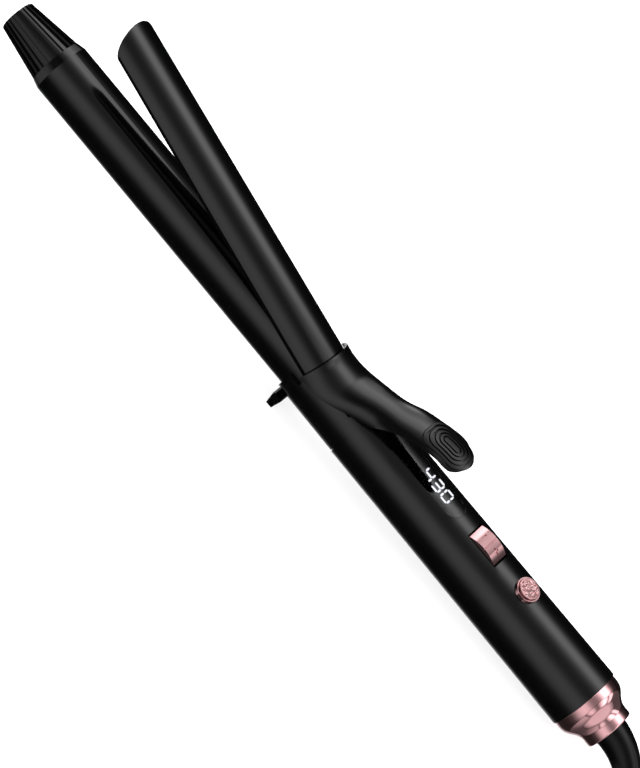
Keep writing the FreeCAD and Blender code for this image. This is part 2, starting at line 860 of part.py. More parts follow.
def make_display():
    """A smoked window flush with the grip, over a numeric module with its bars lit or dark."""
    skin = cut(grip_cone("0.04"), grip_cone("window_thickness"))
    keep(shared(skin, window_prism("-0.05")), "display_lens")
    keep(block(("56", "81"), ("-3.8", "3.8"), ("6.2", "display_level")), "display_module")
    lit, dark = [], []
    for place, digit in enumerate(SHOWN):
        centre = value("digit_first") + place * value("digit_pitch")
        for bar in BARS:
            (lit if bar in LIT[digit] else dark).append(digit_bar(centre, bar))
    keep(shaped(Part.Compound(lit)), "display_digits")
    keep(shaped(Part.Compound(dark)), "display_dark_bars")


def rocker_marks():
    """A minus and a plus, cut evenly deep into the rocker's crown."""
    levels = ("rocker_top - 3", "rocker_top + 1")
    bars = []
    for way in ("-", "+"):
        middle = f"rocker_centre {way} mark_reach"
        across = ("-mark_half", "mark_half")
        bars.append(block((f"{middle} - mark_line", f"{middle} + mark_line"), across, levels))
    along = (f"{middle} - mark_half", f"{middle} + mark_half")
    bars.append(block(along, ("-mark_line", "mark_line"), levels))
    centre = "rocker_top - rocker_crown"
    under = rod("rocker_crown - mark_depth", "-5", "5", axis="y", x="rocker_centre", z=centre)
    return cut(joined(*bars), under)


def make_rocker():
    """The +/- rocker: a crowned cap on a cross pin in a frame under the slot."""
    low = "rocker_centre - rocker_half"
    high = "rocker_centre + rocker_half"
    half = "rocker_width / 2"
    slab = block((low, high), (f"-{half}", half), ("8.2", "18"))
    crown = rod("rocker_crown", f"-{half}", half, axis="y", x="rocker_centre", z="rocker_top - rocker_crown")
    hollow = block((f"{low} + 1.4", f"{high} - 1.4"), (f"1.2 - {half}", f"{half} - 1.2"), ("0", "14.2"))
    bosses = rod("2", f"-{half}", half, axis="y", x="rocker_centre", z="rocker_pivot")
    bore = rod("1.04", f"-{half} - 1", f"{half} + 1", axis="y", x="rocker_centre", z="rocker_pivot")
    groove = rod("0.3", f"-{half} - 1", f"{half} + 1", axis="y", x="rocker_centre", z="rocker_top")
    cap = joined(cut(shared(slab, crown), hollow), bosses)
    keep(cut(cap, bore, groove, rocker_marks()), "rocker_cap")
    pin = rod("1.0", "-6.6", "6.6", axis="y", x="rocker_centre", z="rocker_pivot")
    keep(pin, "rocker_pin")
    frame = cut(
        block(("rocker_centre - 10.4", "rocker_centre + 10.4"), ("-6.6", "6.6"), ("7.4", "11.2")),
        block(
            ("rocker_centre - rocker_slot_half", "rocker_centre + rocker_slot_half"),
            ("-rocker_slot_width / 2", "rocker_slot_width / 2"),
            ("7", "12"),
        ),
        rod("1.01", "-7", "7", axis="y", x="rocker_centre", z="rocker_pivot"),
    )
    keep(frame, "rocker_frame")


def make_power_button():
    """The round power button in its conical collar, with a glittering disc set in its face."""
    collar = doc.addObject("Part::Cone", "collar")
    bind(collar, Radius1="bezel_radius - 0.15", Radius2="button_radius + 0.75")
    bind(collar, Height="bezel_top - 15.2")
    bind_place(collar, x="button_centre", z="15.2")
    neck = rod("bezel_radius - 0.65", "13.2", "15.3", axis="z", x="button_centre")
    bore = rod("button_radius + 0.2", "12", "18", axis="z", x="button_centre")
    ring = cut(joined(cut(collar, grip_cone("-0.01")), neck), bore)
    keep(ring, "button_bezel")
    body = doc.addObject("PartDesign::Body", "button")
    sketch = sketch_on(body, "XY_Plane", "11.4")
    ring_line(sketch, "button_centre", "0", "button_radius")
    pad = body.newObject("PartDesign::Pad", "plunger")
    pad.Profile = sketch
    bind(pad, Length="button_top - 11.4")
    doc.recompute()
    top = value("button_top")
    round_edges(body, 0.25, lambda edge: abs(edge.BoundBox.ZMin - top) < 1e-3)
    face = sketch_on(body, "XY_Plane", "button_top - 0.35")
    ring_line(face, "button_centre", "0", "button_radius - 0.55")
    pocket(body, face, backwards=True)
    keep(body, "power_button")
    insert = rod("button_radius - 0.57", "button_top - 0.35", "button_top - 0.12", axis="z", x="button_centre")
    keep(insert, "button_insert")


def make_electronics():
    """The control board under the grip, with its switches, its power parts and the mains wires."""
    board = block(("44", "146"), ("-10", "10"), ("3.6", "5.2"))
    keep(board, "control_board")
    places = ("rocker_centre - 5.6", "rocker_centre + 5.6", "button_centre")
    switches = []
    for place in places:
        stem_top = "7.5" if "rocker" in place else "10.6"
        body = block((f"{place} - 3", f"{place} + 3"), ("-3", "3"), ("5.2", "6.6"))
        switches.append(joined(body, rod("1.4", "6.5", stem_top, axis="z", x=place)))
    keep(group(*switches), "tact_switches")
    keep(block(("62", "72"), ("-5", "5"), ("-3", "3.6")), "terminal_block")
    keep(rod("4", "92", "106", z="-0.6"), "capacitor")
    keep(block(("114", "124"), ("-6", "2"), ("-1.2", "3.6")), "power_triac")
    wires = [rod("1.1", "136", "172.6", y=side, z="1.9") for side in ("-2.2", "2.2")]
    keep(group(*wires), "mains_wires")


# ---------------------------------------------------------------- end cap and swivel


def make_end_cap():
    """The metallised end cap: a short drum, an S-curve down to a neck, and a spigot in the grip."""
    start = "grip_rear + 0.1"
    spigot = "grip_rear_radius - grip_wall - 0.1"
    body = turned(
        [
            ("grip_rear - 5", f"{spigot} - 1.6"),
            ("grip_rear - 5", spigot),
            (start, spigot),
            (start, "cap_radius"),
            ("grip_rear + 3.4", "cap_radius"),
            ("grip_rear + 5.2", "cap_radius - 0.35"),
            ("grip_rear + 6.9", "cap_radius - 1.2"),
            ("grip_rear + 8.4", "cap_radius - 2.35"),
            ("grip_rear + 9.8", "cap_radius - 3.35"),
            ("grip_rear + 11.4", "cap_neck_radius + 0.35"),
            ("grip_rear + 12.6", "cap_neck_radius"),
            ("cap_rear - 0.5", "cap_neck_radius"),
            ("cap_rear", "cap_neck_radius - 0.5"),
            ("cap_rear", "mouth_radius"),
            ("cap_rear - 3", "mouth_radius"),
            ("cap_rear - 3", "mouth_radius + 1.3"),
            ("grip_rear + 9", "mouth_radius + 1.3"),
            ("grip_rear + 4", "12"),
        ]
    )
    keep(body, "end_cap")
    hub = cut(rod("11.4", "grip_rear - 2.2", "grip_rear + 1"), rod("4.02", "grip_rear - 3", "grip_rear + 2"))
    keep(hub, "swivel_contacts")


def make_swivel():
    """The swivel rotor held in the end cap, and the strain relief that bends down to the table."""
    rotor = joined(
        rod("9", "grip_rear + 9.4", "cap_rear - 3.4"),
        rod("rotor_radius", "cap_rear - 4", "cap_rear"),
        rod("4", "grip_rear - 2.2", "grip_rear + 10"),
    )
    keep(rotor, "swivel_rotor")

    start = TABLE_POSE.multVec(Vector(value("cap_rear"), 0, 0))
    ahead = TABLE_TURN.multVec(ALONG)
    aside = Vector(0, -0.94, -0.34)
    aside = (aside - ahead * aside.dot(ahead)).normalize()
    sections = []
    stations = 9
    bend = value("relief_bend")
    arc = math.radians(value("relief_turn")) * bend
    whole = arc + value("relief_tail")
    for station in range(stations + 1):
        reach = whole * station / stations
        turn = min(reach, arc) / bend
        place = start + ahead * (bend * math.sin(turn)) + aside * (bend * (1 - math.cos(turn)))
        heading = ahead * math.cos(turn) + aside * math.sin(turn)
        place = place + heading * max(0.0, reach - arc)
        share = station / stations
        radius = value("relief_radius") + (value("relief_end_radius") - value("relief_radius")) * share**1.2
        sections.append(Part.Wire([Part.Circle(place, heading, radius).toShape()]))
    relief = Part.makeLoft(sections, True, False)
    keep(shaped(relief), "strain_relief", FREE_POSE)
    print("relief ends at", [round(n, 2) for n in place], "heading", [round(n, 3) for n in heading])


# ---------------------------------------------------------------- mains lead, hank and plug

# The lead's free route on the table, from the strain relief to the hank, and from the hank to the plug.
CORD_ROUTE = [
    (220.87, -15.38, 8.44),
    (228.8, -23.2, 5.2),
    (240.0, -29.4, 3.4),
    (252.2, -32.1, 3.05),
    (264.0, -32.1, 3.05),
]
TAIL_ROUTE = [
    (386.9, 7.0, 21.3),
    (375.5, 7.2, 21.3),
    (364.5, 4.8, 23.5),
    (353.0, 3.0, 25.8),
    (343.0, 3.0, 25.8),
]
HANK_LOW = (264.0, -38.7, 0.05)
HANK_HIGH = (407.2, 16.7, 18.3)


def rounded_path(points):
    """Straight runs joined by tangent arcs, each as large as its two runs allow."""
    points = [Vector(*point) for point in points]
    edges = []
    last = points[0]
    radii = []
    for before, corner, after in zip(points, points[1:], points[2:]):
        back = before - corner
        forth = after - corner
        short = min(back.Length, forth.Length)
        back.normalize()
        forth.normalize()
        half_turn = (math.pi - back.getAngle(forth)) / 2
        reach = 0.45 * short
        radii.append(reach / math.tan(half_turn))
        start = corner + back * reach
        finish = corner + forth * reach
        middle_way = (back + forth).normalize()
        gap = radii[-1] / math.cos(half_turn) - radii[-1]
        edges.append(Part.LineSegment(last, start).toShape())
        edges.append(Part.Arc(start, corner + middle_way * gap, finish).toShape())
        last = finish
    edges.append(Part.LineSegment(last, points[-1]).toShape())
    return Part.Wire(edges), radii


def tube_along(points, radius, label):
    """A round lead along a route, checked against its section times its length."""
    path, radii = rounded_path(points)
    first = Vector(*points[0])
    heading = Vector(*points[1]) - first
    ring = Part.Wire([Part.Circle(first, heading, radius).toShape()])
    tube = path.makePipeShell([ring], True, False)
    expected = math.pi * radius**2 * path.Length
    print(label, "length", round(path.Length, 1), "radii", [round(r, 1) for r in radii])
    print(label, "volume over section times length", round(tube.Volume / expected, 4))
    keep(shaped(tube), label, FREE_POSE)


def make_cord():
    """The free lead and its hank, held by a tie."""
    radius = value("cord_radius")
    tube_along(CORD_ROUTE, radius, "cord_run")
    tube_along(TAIL_ROUTE, radius, "cord_tail")
    sizes = Vector(*HANK_HIGH) - Vector(*HANK_LOW)
    middle = Vector(*HANK_LOW) + sizes / 2
    hank = Part.makeBox(*sizes, Vector(*HANK_LOW))
    upright = [edge for edge in hank.Edges if edge.BoundBox.ZLength > 15]
    folds = [edge for edge in upright if edge.BoundBox.YMin > 0 or edge.BoundBox.XMin > middle.x]
    hank = hank.makeFillet(value("hank_fold"), folds)
    waist = value("waist_half")
    pinch = sizes.y / 2 - waist
    sweep = (value("waist_run") ** 2 + pinch**2) / (2 * pinch)
    for side in (-1, 1):
        place = Vector(middle.x, middle.y + side * (waist + sweep), -5)
        hank = hank.cut(Part.makeCylinder(sweep, 40, place))
    keep(shaped(hank), "cord_hank", FREE_POSE)
    width = value("tie_width")
    corner = Vector(middle.x - width / 2, middle.y - waist - 1, 0)
    band = Part.makeBox(width, 2 * waist + 2, HANK_HIGH[2] + 1.0, corner)
    keep(shaped(band.cut(hank)), "cord_tie", FREE_POSE)


def make_plug():
    """The two-pin plug lying on the hank: a relief cone, a rounded body with grip ribs, and its blades."""
    nose = Vector(*TAIL_ROUTE[-1])
    length, width, height = value("plug_length"), value("plug_width"), value("plug_height")
    neck = value("plug_relief")
    relief = Part.makeCone(4.2, 5.6, neck, nose, -ALONG)
    body = Part.makeBox(length, width, height, nose - Vector(neck + length, width / 2, height / 2))
    body = body.makeFillet(3.5, [edge for edge in body.Edges if edge.BoundBox.XLength > 20])
    shoulder = nose.x - neck - 0.1
    body = body.makeChamfer(1.5, [edge for edge in body.Edges if edge.BoundBox.XMin > shoulder])
    for rib in range(4):
        place = nose.x - neck - 5 - 3.0 * rib
        for side in (-1, 1):
            wall = Vector(place, nose.y + side * width / 2 - 0.5, nose.z - height / 2 + 3)
            body = body.cut(Part.makeBox(1.2, 1.0, height - 6, wall))
    keep(shaped(relief.fuse(body)), "plug_body", FREE_POSE)
    blades = []
    for side in (-1, 1):
        middle = side * value("blade_pitch") / 2
        corner = nose + Vector(-neck - length - 16.5, middle - 0.75, -3.2)
        blades.append(Part.makeBox(16.5, 1.5, 6.4, corner))
    keep(shaped(Part.Compound(blades)), "plug_blades", FREE_POSE)


# ---------------------------------------------------------------- build, check and write

make_barrel()
make_cool_tip()
make_heater()
make_housing()
make_clamp_spring()
make_blade()
make_lever()
make_stand()
make_grip()
make_display()
make_rocker()
make_power_button()
make_electronics()
make_end_cap()
make_swivel()
make_cord()
make_plug()
doc.recompute()

for item in doc.Objects:
    if "Invalid" in item.State or "Error" in item.State:
        raise SystemExit(f"{item.Label} failed: {item.State}")
for label, item in NODES.items():
    if item.Shape.isNull() or not item.Shape.isValid():
        raise SystemExit(f"{label} has a bad shape")
for label, item in NODES.items():
    item.Shape.exportStep(f"parts/{label}.step")
print(len(NODES), "sub-parts written")
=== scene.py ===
"""Clamp curling iron on a pale studio table: materials, lead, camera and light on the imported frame."""
import json
import math

import bmesh
import bpy
from mathutils import Matrix, Vector


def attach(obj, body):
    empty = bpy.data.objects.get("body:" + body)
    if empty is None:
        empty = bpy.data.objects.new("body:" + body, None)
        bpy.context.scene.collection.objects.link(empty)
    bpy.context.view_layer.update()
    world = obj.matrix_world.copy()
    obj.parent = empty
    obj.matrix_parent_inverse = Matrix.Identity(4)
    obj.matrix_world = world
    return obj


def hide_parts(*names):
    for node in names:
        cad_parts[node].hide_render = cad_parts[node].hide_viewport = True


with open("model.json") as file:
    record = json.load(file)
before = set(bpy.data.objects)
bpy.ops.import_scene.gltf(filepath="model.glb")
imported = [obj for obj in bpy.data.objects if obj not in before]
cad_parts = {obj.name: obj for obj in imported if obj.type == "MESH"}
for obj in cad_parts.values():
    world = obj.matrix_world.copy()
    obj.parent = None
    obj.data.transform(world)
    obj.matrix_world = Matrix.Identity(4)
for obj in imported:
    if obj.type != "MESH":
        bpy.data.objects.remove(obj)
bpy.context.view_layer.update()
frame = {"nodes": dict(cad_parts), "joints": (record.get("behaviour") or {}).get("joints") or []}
NODES = frame["nodes"]
scene = bpy.context.scene
scene.view_settings.view_transform = "Standard"

# ---------------------------------------------------------------- the iron's own axes

SWIVEL = next(j for j in frame["joints"] if j["name"] == "cord_swivel")
ALONG = Vector(SWIVEL["axis"]).normalized()
SIDE = Vector((0.0, 1.0, 0.0))
UP = ALONG.cross(SIDE)
# The barrel's axis above the rest leg's hinge: distances along the iron are measured from here.
AXIS_POINT = Vector((0.000967, 0.0, 0.02318))

# ---------------------------------------------------------------- camera

ELEVATION = math.radians(49.0)
ROLL = math.radians(50.33)
LENS = 180.0
SENSOR_WIDTH = 36.0
# The view's width where the iron lies, and where its middle is from AXIS_POINT.
VIEW_WIDTH = 0.2623
AIM_RIGHT, AIM_BELOW = 0.00373, 0.0059


def place_camera():
    """A long lens looks square on to the barrel from the front side, rolled so the iron runs downhill."""
    toward = UP * math.sin(ELEVATION) - SIDE * math.cos(ELEVATION)
    across = UP * math.cos(ELEVATION) + SIDE * math.sin(ELEVATION)
    right = ALONG * math.cos(ROLL) + across * math.sin(ROLL)
    above = across * math.cos(ROLL) - ALONG * math.sin(ROLL)
    middle = AXIS_POINT + right * AIM_RIGHT - above * AIM_BELOW
    data = bpy.data.cameras.new("camera")
    data.lens = LENS
    data.sensor_fit = "HORIZONTAL"
    data.sensor_width = SENSOR_WIDTH
    data.clip_start = 0.05
    camera = bpy.data.objects.new("camera", data)
    scene.collection.objects.link(camera)
    place = Matrix((right, above, toward)).transposed().to_4x4()
    place.translation = middle + toward * (VIEW_WIDTH * LENS / SENSOR_WIDTH)
    camera.matrix_world = place
    scene.camera = camera


place_camera()

# ---------------------------------------------------------------- the lead

CORD_D = 0.006
# From the strain relief down to the table and along it to the hank.
RUN_POINTS = [
    (0.22087, -0.01538, 0.00844),
    (0.2288, -0.0232, 0.0052),
    (0.2400, -0.0294, 0.0034),
    (0.2522, -0.0326, 0.00305),
    (0.2640, -0.0344, 0.00305),
    (0.2760, -0.0355, 0.00305),
]
# From the hank's last fold up to the plug, which lies on the hank.
TAIL_POINTS = [
    (0.3755, 0.0078, 0.0214),
    (0.3645, 0.0058, 0.0236),
    (0.3530, 0.0030, 0.0258),
    (0.3430, 0.0030, 0.0258),
]
# The hank is two straight runs joined by two half-round folds, and its tie pinches the runs together.
HANK_MIDDLE = (0.3356, -0.0110)
HALF_RUN = 0.0440
PINCH = 0.0085
# The turns lie side by side and in layers, a diameter apart. Each starts at one site, its reach from the
# hank's middle line and its height, and moves to the next.
OUTER, INNER = 0.0246, 0.0186
LAYERS = (0.00305, 0.0091, 0.01515, 0.0213)
SITES = [
    (OUTER, LAYERS[0]),
    (INNER, LAYERS[0]),
    (INNER, LAYERS[1]),
    (OUTER, LAYERS[1]),
    (OUTER, LAYERS[2]),
    (INNER, LAYERS[2]),
    (INNER, LAYERS[3]),
]
FULL_TURNS = 5
# Where on its way round each turn starts to move over, and how much of the way that takes.
SHIFT_STARTS = [0.75, 0.64, 0.53, 0.42, 0.31, 0.20]
SHIFT = 0.22
# A turn is a near run, a far fold, a back run and a near fold, each with its start and length as shares of
# the way round. The steps are about as long on the runs as round the folds: uneven ones make tight bends.
RUN, FOLD = 0.3, 0.2
FAR_FOLD, BACK_RUN, NEAR_FOLD = 0.3, 0.5, 0.8
RUN_STEPS, FOLD_STEPS = 12, 10
STRETCHES = (
    (0.0, RUN, RUN_STEPS),
    (FAR_FOLD, FOLD, FOLD_STEPS),
    (BACK_RUN, RUN, RUN_STEPS),
    (NEAR_FOLD, FOLD, FOLD_STEPS),
)


def eased(x):
    """0 to 1, smooth at both ends."""
    x = min(max(x, 0.0), 1.0)
    return x * x * (3.0 - 2.0 * x)


def drawn_in(x):
    """How far the tie draws a run in, at a distance from the hank's middle."""
    return PINCH * (1 + math.cos(math.pi * x / HALF_RUN)) / 2


def hank_point(turn, share):
    """A point of the hank: its turn, and the share of the way round it, from the start of the near run."""
    moved = eased((share - SHIFT_STARTS[turn]) / SHIFT)
    reach = SITES[turn][0] * (1 - moved) + SITES[turn + 1][0] * moved
    height = SITES[turn][1] * (1 - moved) + SITES[turn + 1][1] * moved
    if share < FAR_FOLD:
        x = (share / RUN * 2 - 1) * HALF_RUN
        y = -(reach - drawn_in(x))
    elif share < BACK_RUN:
        angle = (share - FAR_FOLD) / FOLD * math.pi
        x = HALF_RUN + reach * math.sin(angle)
        y = -reach * math.cos(angle)
    elif share < NEAR_FOLD:
        x = (1 - (share - BACK_RUN) / RUN * 2) * HALF_RUN
        y = reach - drawn_in(x)
    else:
        angle = (share - NEAR_FOLD) / FOLD * math.pi
        x = -HALF_RUN - reach * math.sin(angle)
        y = reach * math.cos(angle)
    return (HANK_MIDDLE[0] + x, HANK_MIDDLE[1] + y, height)


def turn_shares():
    """Where a turn's points lie: at the middle of each step."""
    shares = []
    for start, length, steps in STRETCHES:
        shares += [start + length * (step + 0.5) / steps for step in range(steps)]
    return shares


def lead_points():
    """The whole lead: out of its relief, round the hank, and up onto it to the plug.

    The last turn stops at the end of its far fold, short of the tail's first point, so that the lead
    never doubles back.
    """
    points = list(RUN_POINTS)
    for turn in range(FULL_TURNS):
        points += [hank_point(turn, share) for share in turn_shares()]
    points += [hank_point(FULL_TURNS, share) for share in turn_shares() if share < BACK_RUN]
    return points + TAIL_POINTS


def make_lead():
    """One round lead on one smooth spline."""
    data = bpy.data.curves.new("lead", "CURVE")
    data.dimensions = "3D"
    data.bevel_depth = 1.0
    data.bevel_resolution = 5
    data.resolution_u = 6
    spline = data.splines.new("NURBS")
    points = lead_points()
    spline.points.add(len(points) - 1)
    for knot, place in zip(spline.points, points):
        knot.co = (*place, 1.0)
        knot.radius = CORD_D / 2
    spline.order_u = 3
    spline.use_endpoint_u = True
    lead = bpy.data.objects.new("lead", data)
    scene.collection.objects.link(lead)
    return lead


lead = make_lead()
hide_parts("cord_run", "cord_hank", "cord_tail")
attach(lead, "lead")

# ---------------------------------------------------------------- materials


def new_material(name):
    """A material with an empty Principled shader, its nodes and a way to join them."""
    material = bpy.data.materials.new(name)
    material.use_nodes = True
    tree = material.node_tree
    tree.nodes.clear()
    output = tree.nodes.new("ShaderNodeOutputMaterial")
    shader = tree.nodes.new("ShaderNodeBsdfPrincipled")
    tree.links.new(shader.outputs["BSDF"], output.inputs["Surface"])
    return material, tree, shader


def node(tree, kind, inputs=None, **settings):
    """A node with its settings, and its inputs given as values or as other nodes' outputs."""
    made = tree.nodes.new(kind)
    for key, setting in settings.items():
        setattr(made, key, setting)
    for key, given in (inputs or {}).items():
        if isinstance(key, int):
            socket = made.inputs[key]
        else:
            socket = next(one for one in made.inputs if one.name == key and one.enabled)
        if isinstance(given, bpy.types.NodeSocket):
            tree.links.new(given, socket)
        else:
            socket.default_value = given
    return made


def blended(tree, first, second, way):
    """Two colours put together by one of the Mix node's ways."""
    mix = node(tree, "ShaderNodeMix", data_type="RGBA", blend_type=way)
    factor, a, b = (
        next(socket for socket in mix.inputs if socket.name == name and socket.enabled)
        for name in ("Factor", "A", "B")
    )
    factor.default_value = 1.0
    tree.links.new(first, a)
    tree.links.new(second, b)
    return next(one for one in mix.outputs if one.enabled)


def place_of(tree):
    """The place on the piece, in metres."""
    return node(tree, "ShaderNodeTexCoord").outputs["Object"]


def noise(tree, scale, detail=2.0):
    """Soft cloudy noise, from 0 to 1."""
    inputs = {"Vector": place_of(tree), "Scale": scale, "Detail": detail, "Roughness": 0.5}
    return node(tree, "ShaderNodeTexNoise", inputs).outputs["Fac"]


def ramp(tree, factor, stops):
    """Colours or greys along a factor; stops are (place, colour)."""
    made = node(tree, "ShaderNodeValToRGB", {"Fac": factor})
    ends = made.color_ramp.elements
    while len(ends) < len(stops):
        ends.new(0.5)
    for end, (spot, colour) in zip(ends, stops):
        end.position = spot
        end.color = (*colour, 1.0) if hasattr(colour, "__len__") else (colour, colour, colour, 1.0)
    return made.outputs["Color"]


def spread(tree, factor, low, high):
    """A factor from 0 to 1 spread between two values."""
    inputs = {"Value": factor, "To Min": low, "To Max": high}
    return node(tree, "ShaderNodeMapRange", inputs).outputs["Result"]


def bumped(tree, height, strength, distance):
    """A normal roughened by a height, up to a distance in metres."""
    inputs = {"Height": height, "Strength": strength, "Distance": distance}
    return node(tree, "ShaderNodeBump", inputs).outputs["Normal"]


def tinted(colour, factor):
    """A colour made lighter or darker."""
    return tuple(min(1.0, channel * factor) for channel in colour)


def surface(name, colour, rough, metal=0.0, grain=1800.0, bump=0.02, vary=0.15, specular=0.5, depth=2e-5):
    """A moulded, coated or plated surface: slight colour and gloss variation and a fine grain."""
    material, tree, shader = new_material(name)
    cloud = noise(tree, 60.0, 3.0)
    fine = noise(tree, grain)
    shades = ((0.3, tinted(colour, 1 - vary)), (0.7, tinted(colour, 1 + vary)))
    tree.links.new(ramp(tree, cloud, shades), shader.inputs["Base Color"])
    tree.links.new(spread(tree, cloud, rough[0], rough[1]), shader.inputs["Roughness"])
    tree.links.new(bumped(tree, fine, bump, depth), shader.inputs["Normal"])
    shader.inputs["Metallic"].default_value = metal
    shader.inputs["Specular IOR Level"].default_value = specular
    return material


BLACK = (0.0009, 0.0009, 0.0010)
moulding = surface("black_moulding", BLACK, (0.15, 0.20), bump=0.12)
barrel_coat = surface("barrel_coating", BLACK, (0.10, 0.14), grain=2600.0, bump=0.06)
blade_coat = surface("blade_coating", BLACK, (0.10, 0.14), grain=2600.0, bump=0.06)
grip_plastic = surface("grip_plastic", BLACK, (0.15, 0.19), bump=0.10)
pad_rubber = surface("pad_rubber", (0.002, 0.002, 0.0022), (0.26, 0.34), grain=1500.0, bump=0.2, specular=0.4)
cord_rubber = surface(
    "cord_rubber", (0.0012, 0.0012, 0.0013), (0.20, 0.28), grain=900.0, bump=0.25, specular=0.22, depth=4e-5
)
rose_gold = surface(
    "rose_gold", (0.90, 0.50, 0.52), (0.08, 0.13), metal=1.0, grain=700.0, bump=0.03, vary=0.05
)
key_gold = surface(
    "key_gold", (0.62, 0.35, 0.36), (0.10, 0.20), metal=1.0, grain=500.0, bump=0.06, vary=0.18
)
steel = surface("steel", (0.52, 0.52, 0.54), (0.22, 0.34), metal=1.0, grain=2600.0, bump=0.15)
blade_metal = surface("plug_metal", (0.70, 0.65, 0.52), (0.18, 0.28), metal=1.0, grain=2400.0, bump=0.10)
module_black = surface("module_black", (0.010, 0.010, 0.011), (0.40, 0.50), bump=0.25)
circuit = surface("circuit_board", (0.02, 0.16, 0.07), (0.28, 0.40), vary=0.3)
sleeve = surface("lead_insulation", (0.60, 0.60, 0.56), (0.60, 0.75), grain=2500.0, bump=0.6)
ceramic = surface("ceramic", (0.78, 0.78, 0.74), (0.35, 0.5))
aluminium = surface("aluminium", (0.72, 0.72, 0.74), (0.25, 0.4), metal=1.0)
mica = surface("mica", (0.50, 0.44, 0.33), (0.35, 0.5), vary=0.25)
amber = surface("glass_bead", (0.50, 0.25, 0.06), (0.08, 0.14))
capacitor_sleeve = surface("capacitor_sleeve", (0.03, 0.04, 0.16), (0.2, 0.3))
tie_rubber = surface("tie", (0.012, 0.012, 0.013), (0.45, 0.6), grain=1200.0, bump=0.5, depth=6e-5)


def smoked_window():
    """Polished, darkly tinted clear plastic."""
    material, tree, shader = new_material("smoked_window")
    cloud = noise(tree, 90.0)
    greys = ((0.3, (0.10, 0.10, 0.11)), (0.7, (0.12, 0.12, 0.13)))
    tree.links.new(ramp(tree, cloud, greys), shader.inputs["Base Color"])
    tree.links.new(spread(tree, cloud, 0.02, 0.05), shader.inputs["Roughness"])
    shader.inputs["Transmission Weight"].default_value = 1.0
    shader.inputs["IOR"].default_value = 1.49
    return material


def lit_bars():
    """White light from the display's bars, a little uneven along them."""
    material, tree, shader = new_material("lit_bars")
    cloud = noise(tree, 500.0)
    glow = ramp(tree, cloud, ((0.2, (0.88, 0.89, 0.90)), (0.8, (1.0, 1.0, 1.0))))
    tree.links.new(glow, shader.inputs["Base Color"])
    tree.links.new(glow, shader.inputs["Emission Color"])
    shader.inputs["Emission Strength"].default_value = 10.0
    shader.inputs["Roughness"].default_value = 0.4
    return material


def glitter():
    """Pink glitter flakes set at all angles under clear resin."""
    material, tree, shader = new_material("glitter")
    flakes = node(tree, "ShaderNodeTexVoronoi", {"Vector": place_of(tree), "Scale": 3000.0})
    pinks = (
        (0.0, (0.24, 0.08, 0.085)),
        (0.45, (0.58, 0.25, 0.26)),
        (0.8, (0.80, 0.46, 0.47)),
        (1.0, (1.0, 0.85, 0.85)),
    )
    shade = node(tree, "ShaderNodeSeparateColor", {"Color": flakes.outputs["Color"]})
    tree.links.new(ramp(tree, shade.outputs["Red"], pinks), shader.inputs["Base Color"])
    tree.links.new(spread(tree, shade.outputs["Green"], 0.15, 0.4), shader.inputs["Roughness"])
    centred = {0: flakes.outputs["Color"], 1: (0.5, 0.5, 0.5)}
    tilt = node(tree, "ShaderNodeVectorMath", centred, operation="SUBTRACT")
    lean = node(tree, "ShaderNodeVectorMath", {0: tilt.outputs[0], "Scale": 0.9}, operation="SCALE")
    facing = node(tree, "ShaderNodeNewGeometry").outputs["Normal"]
    turned = node(tree, "ShaderNodeVectorMath", {0: facing, 1: lean.outputs[0]}, operation="ADD")
    square = node(tree, "ShaderNodeVectorMath", {0: turned.outputs[0]}, operation="NORMALIZE")
    tree.links.new(square.outputs[0], shader.inputs["Normal"])
    shader.inputs["Metallic"].default_value = 0.85
    shader.inputs["Coat Weight"].default_value = 0.6
    shader.inputs["Coat Roughness"].default_value = 0.05
    return material


window = smoked_window()
bars = lit_bars()
dark_bars = surface("dark_bars", (0.004, 0.004, 0.004), (0.3, 0.4))
flakes = glitter()

FINISH = {
    "barrel_tube": barrel_coat,
    "cool_tip": moulding,
    "tip_insulator": mica,
    "heater_plate": ceramic,
    "heat_spreader_upper": aluminium,
    "heat_spreader_lower": aluminium,
    "temperature_probe": amber,
    "thermal_fuse": steel,
    "heater_leads": sleeve,
    "front_housing": moulding,
    "hinge_pin": steel,
    "barrel_screw": steel,
    "clamp_spring": steel,
    "clamp_blade": blade_coat,
    "lever_shell": moulding,
    "thumb_pad": pad_rubber,
    "blade_rivets": steel,
    "stand_ring": moulding,
    "stand_pin": moulding,
    "stand_leg": moulding,
    "grip_shell": grip_plastic,
    "grip_cover": grip_plastic,
    "cover_screws": steel,
    "display_lens": window,
    "display_module": module_black,
    "display_digits": bars,
    "display_dark_bars": dark_bars,
    "rocker_cap": key_gold,
    "rocker_pin": steel,
    "rocker_frame": module_black,
    "button_bezel": key_gold,
    "power_button": key_gold,
    "button_insert": flakes,
    "control_board": circuit,
    "tact_switches": module_black,
    "terminal_block": module_black,
    "capacitor": capacitor_sleeve,
    "power_triac": module_black,
    "mains_wires": sleeve,
    "end_cap": rose_gold,
    "swivel_contacts": module_black,
    "swivel_rotor": module_black,
    "strain_relief": cord_rubber,
    "cord_tie": tie_rubber,
    "plug_body": cord_rubber,
    "plug_blades": blade_metal,
}
for name, material in FINISH.items():
    mesh = NODES[name].data
    mesh.materials.clear()
    mesh.materials.append(material)
lead.data.materials.append(cord_rubber)

# The put-away lead keeps out of the plating's reflections.
for piece in (lead, NODES["cord_tie"], NODES["plug_body"], NODES["plug_blades"]):
    piece.visible_glossy = False

# ---------------------------------------------------------------- plated end cap

